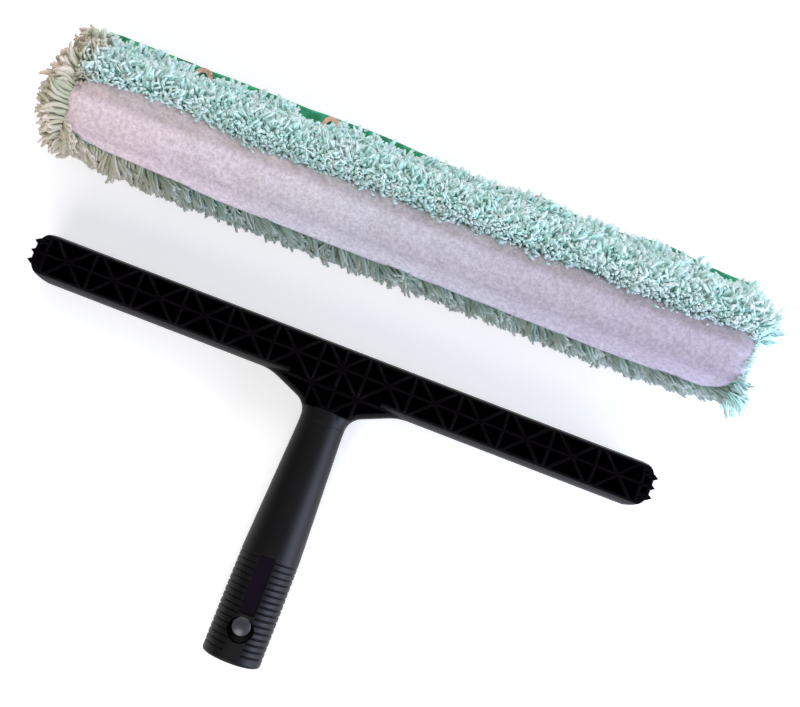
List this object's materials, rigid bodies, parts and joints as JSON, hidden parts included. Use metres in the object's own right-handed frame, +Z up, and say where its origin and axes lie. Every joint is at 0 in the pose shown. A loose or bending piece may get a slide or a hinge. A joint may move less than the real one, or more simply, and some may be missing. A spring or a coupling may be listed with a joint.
{
  "type": "window scrubber",
  "caption": "T-bar window washer with a pole-socket handle and release button, and beside it the plush sleeve with a scrub band that fits over the bar.",
  "frame": {"origin": "on the table, under the middle of the box round the T-bar and the sleeve", "axes": "+X along the bar and the sleeve, +Y from the handle towards the sleeve's mouth, +Z up"},
  "size_m": [0.4, 0.2866, 0.052],
  "materials": {
    "black_plastic": "moulded satin",
    "grip_plastic": "moulded satin",
    "button_plastic": "gloss",
    "spring_steel": "satin",
    "mint_pile": "long plush pile",
    "scrub_felt": "felted nap",
    "green_canvas": "woven",
    "snap_brass": "satin"
  },
  "bodies": {
    "t_bar": {"t_bar_head": "black_plastic", "handle_grip": "grip_plastic", "spring_cover": "grip_plastic", "button_spring": "spring_steel", "spring_rivet": "spring_steel"},
    "button": {"lock_button": "button_plastic"},
    "sleeve": {"sleeve_lining": "green_canvas", "upper_pile": "mint_pile", "lower_pile": "mint_pile", "left_end_pile": "mint_pile", "right_end_pile": "mint_pile", "scrub_band": "scrub_felt", "upper_lip_binding": "green_canvas", "lower_lip_binding": "green_canvas", "snap_rings": "snap_brass", "snap_sockets": "snap_brass", "snap_studs": "snap_brass", "snap_posts": "snap_brass"}
  },
  "joints": [
    {"name": "button_press", "type": "slide", "parent": "t_bar", "child": "button", "axis": [0, 0, -1], "range_m": [0, 0.0016], "stiffness_N_per_m": 2000, "deforming": ["button_spring"]},
    {"name": "sleeve_lift", "type": "slide", "parent": "t_bar", "child": "sleeve", "axis": [0, 0, 1], "range_m": [0, 0.15]}
  ]
}
